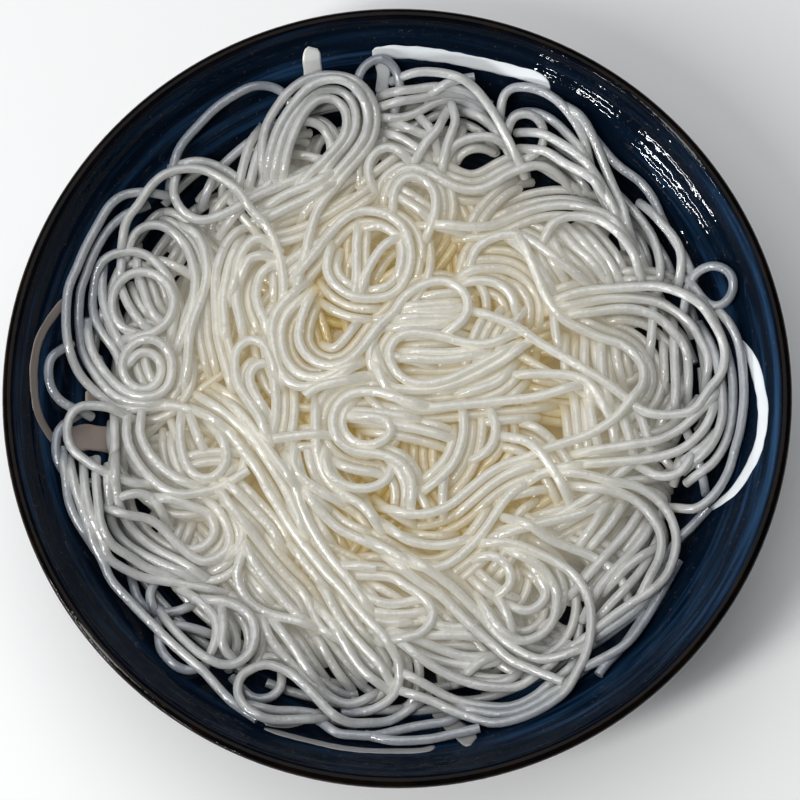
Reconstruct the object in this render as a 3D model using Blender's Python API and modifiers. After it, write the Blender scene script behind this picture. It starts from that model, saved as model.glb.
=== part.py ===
"""Deep stoneware dish heaped with cooked rice vermicelli. Metres, +Z up, origin on the table under the dish's centre."""

import math

import bmesh
import bpy
import numpy as np
from mathutils import Vector

MM = 0.001

# Dish
RIM_RADIUS = 105.0 * MM
DISH_HEIGHT = 48.0 * MM
LIP_THICKNESS = 3.6 * MM
BASE_THICKNESS = 5.5 * MM
FLOOR_HEIGHT = 9.0 * MM
FLOOR_RADIUS = 46.0 * MM
WALL_CURVE = 1.9
FOOT_OUTER_RADIUS = 52.0 * MM
FOOT_INNER_RADIUS = 46.0 * MM
FOOT_TOP_RADIUS = 55.0 * MM
FOOT_HEIGHT = 5.0 * MM
INNER_RINGS = 9
OUTER_RINGS = 6
LIP_POINTS = 4
DISH_STEPS = 64

# Heap
NOODLE_RADIUS = 1.3 * MM
HEAP_GAP = 0.7 * MM
CORE_RADIUS = 85.5 * MM
CORE_TOP = 30.5 * MM
CORE_DOME = 2.3
CORE_LUMP = 0.8 * MM
CORE_SPOKES = 32
CORE_RINGS = 14
# Waves of the heap's outline: how many round the heap, how deep, and where the first crest is.
OUTLINE_WAVES = ((2, 1.6 * MM, 0.5), (3, 1.3 * MM, 2.1), (7, 0.9 * MM, 4.0))

# How a noodle lies
SINK_IN_CORE = 0.45
FUSED_SPACING = 1.65 * NOODLE_RADIUS
CLEAR_SPACING = 2.3 * NOODLE_RADIUS
FREE_BEND_RADIUS = 70.0 * MM
WALL_REACH = 4.6 * MM
WALL_BEND = 6.0 * MM
END_DIVE = 3.2 * MM
END_DIVE_LENGTH = 8.0 * MM
ROUTE_STEP = 1.0 * MM
MAP_CELL = 0.5 * MM
LONGEST_SEGMENT = 11.0 * MM
WIDEST_TURN = math.radians(34)
STIFFNESS_PASSES = 160

# The bends that show on the heap, lowest first. Each noodle is one bend whose ends straighten out:
# centre x and y, radius, angle where the bend starts, angle it sweeps (plus is anticlockwise),
# and how far the noodle runs on before and after it. Millimetres and degrees.
BENDS = (
    (-30, -66, 60, 128, -40, 6, 20),
    (-66, 26, 23, 96, 150, 0, 60),
    (-62, -62, 30, 186, 74, 20, 22),
    (62, -6, 30, 46, -104, 14, 20),
    (30, -58, 27, 208, 118, 14, 4),
    (27, -64, 24, 100, -235, 12, 24),
    (52, -40, 24, 110, -165, 16, 14),
    (52, -40, 18.5, 100, -140, 18, 10),
    (8, -16, 27, 205, 128, 14, 22),
    (70, 14, 18, 100, -190, 44, 50),
    (70, 14, 14, 100, -170, 34, 26),
    (47, 28, 24, 132, -120, 22, 26),
    (10, 62, 24, 116, -96, 2, 20),
    (38, 64, 17, 160, -130, 6, 34),
    (-20, 72, 13.6, 205, -205, 30, 34),
    (-20, 72, 10.2, 200, -195, 22, 22),
    (-52, 36, 24, 176, -150, 14, 24),
    (-55, 54, 8, 350, 320, 2, 34),
    (-71, 27, 11.8, 235, -275, 8, 10),
    (-68, 25, 8, 330, 300, 8, 6),
    (-62, 34, 10, 165, -190, 8, 30),
    (-64, 5, 6.6, 190, 270, 10, 6),
    (-57, -10, 15, 182, 170, 8, 14),
    (-81, -12, 7.4, 40, 280, 4, 20),
    (-49, -61, 9.8, 235, 240, 26, 6),
    (-34, -74, 6.4, 330, -250, 6, 30),
    (-10, -72, 10, 220, 130, 20, 50),
    (82, 28, 5, 150, -320, 4, 10),
    (-4, 83, 5.6, 205, -300, 6, 10),
    (-1, 62, 6.4, 20, 270, 10, 24),
    (-9, 40, 12.4, 300, 262, 10, 40),
    (-19, 17, 11, 150, 175, 26, 32),
    (-40, 6, 8, 60, 190, 6, 40),
    (-12, -8, 8.4, 40, 220, 44, 16),
    (14, 8, 9.4, 20, 220, 34, 40),
    (8, -10, 12, 250, 110, 20, 22),
    (20, -42, 10, 60, 180, 20, 30),
    (-38, 34, 14, 170, -110, 18, 30),
    (30, 44, 9, 100, -170, 20, 24),
    (44, 2, 12, 80, -150, 24, 20),
    (-18, -48, 14, 200, 120, 30, 16),
    (-60, -38, 12, 140, 150, 16, 24),
    (40, -60, 9, 200, 210, 10, 16),
    (74, -28, 8, 160, 180, 10, 14),
    (58, 40, 9, 60, -170, 14, 20),
)

GLAZE_BLUE = (0.012, 0.035, 0.085, 1.0)
NOODLE_WHITE = (0.80, 0.79, 0.72, 1.0)


def clear_scene():
    for obj in list(bpy.data.objects):
        bpy.data.objects.remove(obj)


def new_collection(name):
    collection = bpy.data.collections.new(name)
    bpy.context.scene.collection.children.link(collection)
    return collection


def make_material(name, colour, roughness):
    material = bpy.data.materials.new(name)
    material.use_nodes = True
    shader = material.node_tree.nodes["Principled BSDF"]
    shader.inputs["Base Color"].default_value = colour
    shader.inputs["Roughness"].default_value = roughness
    shader.inputs["Metallic"].default_value = 0.0
    return material


def mesh_object(name, build, collection, material):
    """A new object whose mesh is what build(bm) makes."""
    bm = bmesh.new()
    build(bm)
    mesh = bpy.data.meshes.new(name)
    bm.to_mesh(mesh)
    bm.free()
    mesh.materials.append(material)
    obj = bpy.data.objects.new(name, mesh)
    collection.objects.link(obj)
    return obj


# Dish

LIP_INNER_RADIUS = RIM_RADIUS - LIP_THICKNESS
LIP_CENTRE_Z = DISH_HEIGHT - LIP_THICKNESS / 2


def inner_height(radius):
    """Height of the dish's inner surface at a distance from the axis."""
    share = np.clip((radius - FLOOR_RADIUS) / (LIP_INNER_RADIUS - FLOOR_RADIUS), 0, None)
    return FLOOR_HEIGHT + (LIP_CENTRE_Z - FLOOR_HEIGHT) * share**WALL_CURVE


def inner_slope(radius):
    span = 0.1 * MM
    return (inner_height(radius + span) - inner_height(radius - span)) / (2 * span)


def dish_profile():
    """Half section, from the middle of the floor, up the inside, over the lip and down to the middle of the foot."""
    points = [(0.0, FLOOR_HEIGHT)]
    for radius in np.linspace(FLOOR_RADIUS, LIP_INNER_RADIUS, INNER_RINGS):
        points.append((float(radius), float(inner_height(radius))))
    lip_middle = RIM_RADIUS - LIP_THICKNESS / 2
    for step in range(1, LIP_POINTS + 1):
        angle = math.pi * (1 - step / LIP_POINTS)
        points.append((
            lip_middle + math.cos(angle) * LIP_THICKNESS / 2,
            LIP_CENTRE_Z + math.sin(angle) * LIP_THICKNESS / 2,
        ))
    # The outer wall is the inner one moved out along its normal, thicker towards the base.
    for share in np.linspace(1, 0, OUTER_RINGS + 1)[1:]:
        radius = FOOT_TOP_RADIUS + share * (LIP_INNER_RADIUS - FOOT_TOP_RADIUS)
        slope = float(inner_slope(radius))
        wall = BASE_THICKNESS + share * (LIP_THICKNESS - BASE_THICKNESS)
        tilt = math.atan(slope)
        points.append((
            radius + wall * math.sin(tilt),
            float(inner_height(radius)) - wall * math.cos(tilt),
        ))
    points.append((FOOT_OUTER_RADIUS, 0.0))
    points.append((FOOT_INNER_RADIUS, 0.0))
    points.append((FOOT_INNER_RADIUS - 1.0 * MM, FOOT_HEIGHT - 1.0 * MM))
    points.append((0.0, FOOT_HEIGHT - 0.5 * MM))
    return points


def make_dish(collection, material):
    def profile(bm):
        verts = [bm.verts.new((radius, 0, height)) for radius, height in dish_profile()]
        for first, second in zip(verts, verts[1:]):
            bm.edges.new((first, second))

    dish = mesh_object("dish", profile, collection, material)
    turn = dish.modifiers.new("Turn", "SCREW")
    turn.axis = "Z"
    turn.steps = DISH_STEPS
    turn.render_steps = DISH_STEPS
    turn.use_merge_vertices = True
    turn.merge_threshold = 0.00002
    turn.use_smooth_shade = True
    return dish


# Core of the heap


def outline_radius(angle):
    return CORE_RADIUS + sum(depth * np.sin(count * angle + crest) for count, depth, crest in OUTLINE_WAVES)


def core_height(x, y):
    """Height of the core's top at a place on the heap."""
    angle = np.arctan2(y, x)
    edge = outline_radius(angle)
    share = np.clip(np.hypot(x, y) / edge, 0, 1)
    edge_height = inner_height(edge) + HEAP_GAP
    lumps = CORE_LUMP * np.sin(x / (11 * MM)) * np.sin(y / (9 * MM) + 1.0) * (1 - share)
    return edge_height + (CORE_TOP - edge_height) * (1 - share**CORE_DOME) + lumps


def make_core(collection, material):
    """A ball pressed into the dish: its upper half takes the dome's form, its lower half the dish's."""

    def ball(bm):
        bmesh.ops.create_uvsphere(bm, u_segments=CORE_SPOKES, v_segments=CORE_RINGS, radius=1.0)
        for vert in bm.verts:
            angle = math.atan2(vert.co.y, vert.co.x)
            share = min(1.0, math.hypot(vert.co.x, vert.co.y))
            radius = float(outline_radius(angle)) * share
            x, y = radius * math.cos(angle), radius * math.sin(angle)
            if vert.co.z > 1e-4:
                height = float(core_height(x, y))
            else:
                height = float(inner_height(radius)) + HEAP_GAP
            vert.co = Vector((x, y, height))

    return mesh_object("core", ball, collection, material)


# Noodles


def bend_route(centre_x, centre_y, radius, start, sweep, before, after):
    """Plan of one noodle, a point for each millimetre: a bend whose curvature fades out along its two ends."""
    turn = math.copysign(1, sweep)
    tight = 1 / (radius * MM)
    free = 1 / FREE_BEND_RADIUS
    arc = abs(math.radians(sweep)) * radius * MM
    begin = math.radians(start)
    arc_steps = np.arange(0, arc, ROUTE_STEP)
    angles = begin + turn * arc_steps * tight
    bend = np.c_[np.cos(angles), np.sin(angles)] * radius * MM

    def run_on(origin, heading, curl, length):
        steps = np.arange(ROUTE_STEP, length * MM, ROUTE_STEP)
        fade = np.exp(-steps / (8 * MM))
        curvature = curl * (free + (tight - free) * fade)
        headings = heading + np.cumsum(curvature) * ROUTE_STEP
        return origin + np.cumsum(np.c_[np.cos(headings), np.sin(headings)], axis=0) * ROUTE_STEP

    ahead = run_on(bend[-1], angles[-1] + turn * math.pi / 2, turn, after)
    behind = run_on(bend[0], angles[0] - turn * math.pi / 2, -turn, before)
    route = np.concatenate([behind[::-1], bend, ahead])
    return route + np.array([centre_x, centre_y]) * MM


def keep_inside(route):
    """Bends a route along the dish's wall where it would run on up the wall."""
    limit = CORE_RADIUS + WALL_REACH
    start = limit - WALL_BEND
    radius = np.hypot(route[:, 0], route[:, 1])
    past = np.maximum(radius - start, 0)
    bent = np.minimum(radius, start) + WALL_BEND * np.tanh(past / WALL_BEND)
    return route * (bent / np.maximum(radius, 1.0 * MM))[:, None]


class HeapSurface:
    """A map of how high a noodle's centre line has to be, which each noodle that is laid raises."""

    def __init__(self):
        self.half = RIM_RADIUS
        self.count = int(2 * self.half / MAP_CELL) + 1
        axis = np.arange(self.count) * MAP_CELL - self.half
        x, y = np.meshgrid(axis, axis, indexing="ij")
        radius = np.hypot(x, y)
        slope = inner_slope(radius)
        on_dish = inner_height(radius) + HEAP_GAP + NOODLE_RADIUS * np.sqrt(1 + slope**2)
        on_core = core_height(x, y) + NOODLE_RADIUS * (1 - SINK_IN_CORE)
        inside = radius < outline_radius(np.arctan2(y, x))
        self.height = np.where(inside, np.maximum(on_dish, on_core), on_dish)

    def cells(self, points):
        index = np.round((points + self.half) / MAP_CELL).astype(int)
        return np.clip(index, 0, self.count - 1)

    def under(self, route):
        index = self.cells(route)
        return self.height[index[:, 0], index[:, 1]]

    def raise_under(self, route, heights):
        reach = int(FUSED_SPACING / MAP_CELL)
        index = self.cells(route)
        for i in range(-reach, reach + 1):
            for j in range(-reach, reach + 1):
                away = math.hypot(i, j) * MAP_CELL
                if away > FUSED_SPACING:
                    continue
                top = heights + math.sqrt(FUSED_SPACING**2 - away**2)
                cell = np.clip(index + (i, j), 0, self.count - 1)
                np.maximum.at(self.height, (cell[:, 0], cell[:, 1]), top)


def smooth(values, width):
    """Moving average that leaves the two ends where they are."""
    padded = np.concatenate([np.full(width, values[0]), values, np.full(width, values[-1])])
    kernel = np.hanning(2 * width + 3)[1:-1]
    return np.convolve(padded, kernel / kernel.sum(), "same")[width:-width]


def lay(route, surface):
    """Heights of a noodle that rests on what is under it, stiff enough to bridge small gaps, and clear of itself."""
    needed = surface.under(route)
    heights = needed.copy()
    apart = np.hypot(*(route[:, None, :] - route[None, :, :]).transpose(2, 0, 1))
    order = np.arange(len(route))
    crossing = (apart < CLEAR_SPACING) & (order[:, None] - order[None, :] > 8)
    lift = np.sqrt(np.maximum(CLEAR_SPACING**2 - apart**2, 0))
    for _ in range(STIFFNESS_PASSES):
        if crossing.any():
            over = np.where(crossing, heights[None, :] + lift, 0).max(axis=1)
            needed = np.maximum(needed, over)
        heights = np.maximum(needed, smooth(heights, 4) - 0.004 * MM)
    from_end = np.minimum(order, order[::-1]) * ROUTE_STEP
    dive = END_DIVE * np.clip(1 - from_end / END_DIVE_LENGTH, 0, 1) ** 2
    radius = np.hypot(route[:, 0], route[:, 1])
    lowest = inner_height(radius) + HEAP_GAP + NOODLE_RADIUS * np.sqrt(1 + inner_slope(radius) ** 2)
    return np.maximum(heights - dive, lowest)


def thin_out(points):
    """Fewest points that keep the segments short and the turns small."""
    steps = np.diff(points, axis=0)
    lengths = np.linalg.norm(steps, axis=1)
    headings = steps / lengths[:, None]
    turns = np.arccos(np.clip((headings[1:] * headings[:-1]).sum(axis=1), -1, 1))
    cost = np.concatenate([[0], np.maximum(lengths / LONGEST_SEGMENT, np.concatenate([[0], turns]) / WIDEST_TURN)])
    total = np.cumsum(cost)
    marks = np.linspace(0, total[-1], int(math.ceil(total[-1])) + 1)
    return np.c_[[np.interp(marks, total, points[:, axis]) for axis in range(3)]].T


def tube_object(name, points, collection, material):
    """A closed round mesh tube along the points."""
    curve = bpy.data.curves.new(name, "CURVE")
    curve.dimensions = "3D"
    curve.bevel_depth = NOODLE_RADIUS
    curve.bevel_resolution = 1
    curve.use_fill_caps = True
    spline = curve.splines.new("POLY")
    spline.points.add(len(points) - 1)
    for point, place in zip(spline.points, points):
        point.co = (*place, 1.0)
    guide = bpy.data.objects.new(name + "_line", curve)
    collection.objects.link(guide)
    graph = bpy.context.evaluated_depsgraph_get()
    mesh = bpy.data.meshes.new_from_object(guide.evaluated_get(graph))
    bpy.data.objects.remove(guide)
    bm = bmesh.new()
    bm.from_mesh(mesh)
    bmesh.ops.remove_doubles(bm, verts=bm.verts, dist=0.00001)
    bmesh.ops.recalc_face_normals(bm, faces=bm.faces)
    bm.to_mesh(mesh)
    bm.free()
    mesh.materials.clear()
    mesh.materials.append(material)
    tube = bpy.data.objects.new(name, mesh)
    collection.objects.link(tube)
    return tube


def keep_outer_shell(obj):
    """Fills sealed hollows and drops loose scraps, by keeping only the largest shell of the mesh."""
    bm = bmesh.new()
    bm.from_mesh(obj.data)
    shells = []
    unseen = set(bm.faces)
    while unseen:
        shell = {unseen.pop()}
        edge_of_shell = list(shell)
        while edge_of_shell:
            face = edge_of_shell.pop()
            for edge in face.edges:
                for other in edge.link_faces:
                    if other in unseen:
                        unseen.discard(other)
                        shell.add(other)
                        edge_of_shell.append(other)
        shells.append(shell)
    largest = max(shells, key=len)
    spare = [face for shell in shells if shell is not largest for face in shell]
    bmesh.ops.delete(bm, geom=spare, context="FACES")
    bmesh.ops.triangulate(bm, faces=bm.faces)
    bm.to_mesh(obj.data)
    bm.free()


def make_heap(collection, material):
    """The core with the noodles that show fused on."""
    heap = make_core(collection, material)
    heap.name = "vermicelli"
    noodles = new_collection("noodles")
    surface = HeapSurface()
    for number, bend in enumerate(BENDS):
        route = keep_inside(bend_route(*bend))
        heights = lay(route, surface)
        surface.raise_under(route, heights)
        tube_object(f"noodle_{number:02d}", thin_out(np.c_[route, heights]), noodles, material)

    join = heap.modifiers.new("Join", "BOOLEAN")
    join.operation = "UNION"
    join.operand_type = "COLLECTION"
    join.collection = noodles
    join.solver = "MANIFOLD"
    graph = bpy.context.evaluated_depsgraph_get()
    joined = bpy.data.meshes.new_from_object(heap.evaluated_get(graph))
    heap.modifiers.clear()
    heap.data = joined
    for tube in list(noodles.objects):
        bpy.data.objects.remove(tube)
    bpy.data.collections.remove(noodles)
    keep_outer_shell(heap)
    return heap


def main():
    clear_scene()
    collection = new_collection("Vermicelli_dish")
    glaze = make_material("blue_glaze", GLAZE_BLUE, 0.12)
    cooked_rice = make_material("cooked_rice", NOODLE_WHITE, 0.35)
    make_dish(collection, glaze)
    make_heap(collection, cooked_rice)


main()
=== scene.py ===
import math

import bpy
import numpy as np
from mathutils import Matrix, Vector


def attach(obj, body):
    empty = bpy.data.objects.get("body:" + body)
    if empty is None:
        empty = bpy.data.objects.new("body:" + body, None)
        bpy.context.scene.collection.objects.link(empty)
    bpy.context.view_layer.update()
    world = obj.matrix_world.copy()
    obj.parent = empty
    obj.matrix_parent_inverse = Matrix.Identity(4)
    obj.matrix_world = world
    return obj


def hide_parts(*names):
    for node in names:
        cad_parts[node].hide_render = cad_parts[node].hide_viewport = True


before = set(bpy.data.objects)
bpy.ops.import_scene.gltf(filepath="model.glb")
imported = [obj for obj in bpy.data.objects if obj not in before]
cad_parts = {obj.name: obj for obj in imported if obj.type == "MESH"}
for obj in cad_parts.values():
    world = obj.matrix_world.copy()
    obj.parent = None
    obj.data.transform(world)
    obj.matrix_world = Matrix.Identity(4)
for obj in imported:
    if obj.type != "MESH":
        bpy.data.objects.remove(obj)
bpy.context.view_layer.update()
mm = 0.001    # sizes are in mm and looks in m, as each note says

# Camera, which sees the plate from almost straight above
camera = {
    "elevation": 80.7,        # degrees above the table
    "distance": 850.0,        # mm to the middle of the rim
    "pixelsPerMm": 3.768,     # at the height of the rim
    "rimHeight": 48.0,        # mm
    "rimCentre": (397.2, 389.8),
    "pictureSize": 800,
    "sensor": 36.0,
}


def addCamera(look):
    tilt = math.radians(look["elevation"])
    span = look["pictureSize"] / look["pixelsPerMm"]
    away = Vector((0, -math.cos(tilt), math.sin(tilt))) * look["distance"]
    place = (Vector((0, 0, look["rimHeight"])) + away) * mm
    bpy.ops.object.camera_add(location=place, rotation=(math.pi / 2 - tilt, 0, 0))
    eye = bpy.context.object
    eye.name = "Camera"
    eye.data.sensor_width = look["sensor"]
    eye.data.lens = look["sensor"] * look["distance"] / span
    middle = look["pictureSize"] / 2
    eye.data.shift_x = (middle - look["rimCentre"][0]) / look["pictureSize"]
    eye.data.shift_y = (look["rimCentre"][1] - middle) / look["pictureSize"]
    eye.data.clip_start = 0.01
    bpy.context.scene.camera = eye


# Place in mm of what the photograph shows at a pixel, if it is at a height above the table
def seenAt(px, py, height):
    tilt = math.radians(camera["elevation"])
    across = (px - camera["rimCentre"][0]) / camera["pixelsPerMm"]
    up = (camera["rimCentre"][1] - py) / camera["pixelsPerMm"]
    reach = camera["distance"]
    fall = reach * math.sin(tilt) - up * math.cos(tilt)
    share = (camera["rimHeight"] + reach * math.sin(tilt) - height) / fall
    return across * share, (reach * math.cos(tilt) + up * math.sin(tilt)) * share - reach * math.cos(tilt)


addCamera(camera)
print("camera set")

# Plate
plate = {
    "rim": 105.0,             # mm
    "height": 48.0,
    "lip": 3.6,
    "base": 5.5,
    "floor": 9.0,
    "floorRadius": 46.0,
    "wallCurve": 1.9,
    "footOuter": 52.0,
    "footInner": 46.0,
    "footTop": 55.0,
    "footHeight": 5.0,
    "throwingRing": 0.10,     # depth of the rings left by the thrower's fingers
    "ringSpacing": 4.3,
    "ringFade": 3.0,          # over which they die out towards the lip
    "insidePoints": 110,      # of the profile, from the floor to the lip
    "lipPoints": 17,
    "outsidePoints": 60,
    "steps": 200,             # round the axis
}
lipInner = plate["rim"] - plate["lip"]
lipMiddle = plate["height"] - plate["lip"] / 2


# Height in mm of the plate's inner surface at a distance from the axis
def insideHeight(radius):
    share = np.clip((radius - plate["floorRadius"]) / (lipInner - plate["floorRadius"]), 0, None)
    return plate["floor"] + (lipMiddle - plate["floor"]) * share ** plate["wallCurve"]


def insideSlope(radius):
    return (insideHeight(radius + 0.1) - insideHeight(radius - 0.1)) / 0.2


# Depth of the throwing rings, uneven from ring to ring, always cut into the wall and never proud of it
def ringRelief(distance):
    phase = 2 * math.pi * distance / plate["ringSpacing"]
    return -plate["throwingRing"] * (1 + math.sin(phase + 0.8 * math.sin(distance / 9)))


# Radius and height of a point that is some way off the plate's inner surface, square to it
def offWall(radius, slope, away):
    return radius - away * math.sin(slope), float(insideHeight(radius)) + away * math.cos(slope)


# The plate's section as radius and height: up the inside, over the lip, down the outside and under the foot
def plateProfile():
    points = [(0.0, plate["floor"])]
    for radius in np.linspace(4, lipInner, plate["insidePoints"]):
        slope = math.atan(float(insideSlope(radius)))
        faded = min(1.0, (lipInner - radius) / plate["ringFade"])
        points.append(offWall(radius, slope, ringRelief(radius / math.cos(slope)) * faded))
    half = plate["lip"] / 2
    middle = plate["rim"] - half
    for angle in np.linspace(math.pi, 0, plate["lipPoints"])[1:]:
        points.append((middle + math.cos(angle) * half, lipMiddle + math.sin(angle) * half))
    for share in np.linspace(1, 0, plate["outsidePoints"])[1:]:
        radius = plate["footTop"] + share * (lipInner - plate["footTop"])
        slope = math.atan(float(insideSlope(radius)))
        wall = plate["base"] + share * (plate["lip"] - plate["base"])
        wall += ringRelief(radius * 1.1) * min(1.0, share * 6, (1 - share) * 6)
        points.append(offWall(radius, slope, -wall))
    # The foot ring, its edges rubbed round
    outer, inner, under = plate["footOuter"], plate["footInner"], plate["footHeight"]
    points += [(outer + 0.5, 0.8), (outer - 0.4, 0.1), (outer - 1.2, 0.0)]
    points += [(inner + 1.2, 0.0), (inner + 0.3, 0.3), (inner, 1.2)]
    points += [(inner - 1.0, under - 1.0), (inner - 3.0, under - 0.5), (0.0, under - 0.5)]
    return points


def selectOnly(obj):
    bpy.ops.object.select_all(action="DESELECT")
    obj.select_set(True)
    bpy.context.view_layer.objects.active = obj


def meshObject(name, points, edges=(), faces=()):
    mesh = bpy.data.meshes.new(name)
    mesh.from_pydata([tuple(c * mm for c in point) for point in points], edges, faces)
    obj = bpy.data.objects.new(name, mesh)
    bpy.context.collection.objects.link(obj)
    return obj


def makePlate():
    profile = [(radius, 0, height) for radius, height in plateProfile()]
    obj = meshObject("thrownPlate", profile, [(i, i + 1) for i in range(len(profile) - 1)])
    selectOnly(obj)
    turn = obj.modifiers.new("Turn", "SCREW")
    turn.steps = plate["steps"]
    turn.render_steps = plate["steps"]
    turn.use_merge_vertices = True
    turn.merge_threshold = 0.00002
    bpy.ops.object.modifier_apply(modifier="Turn")
    bpy.ops.object.mode_set(mode="EDIT")
    bpy.ops.mesh.select_all(action="SELECT")
    bpy.ops.mesh.remove_doubles(threshold=0.00001)
    bpy.ops.mesh.normals_make_consistent(inside=False)
    bpy.ops.object.mode_set(mode="OBJECT")
    bpy.ops.object.shade_smooth_by_angle(angle=math.radians(50))
    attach(obj, "root")
    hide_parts("dish")
    return obj


thrownPlate = makePlate()
print("plate turned")

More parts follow.
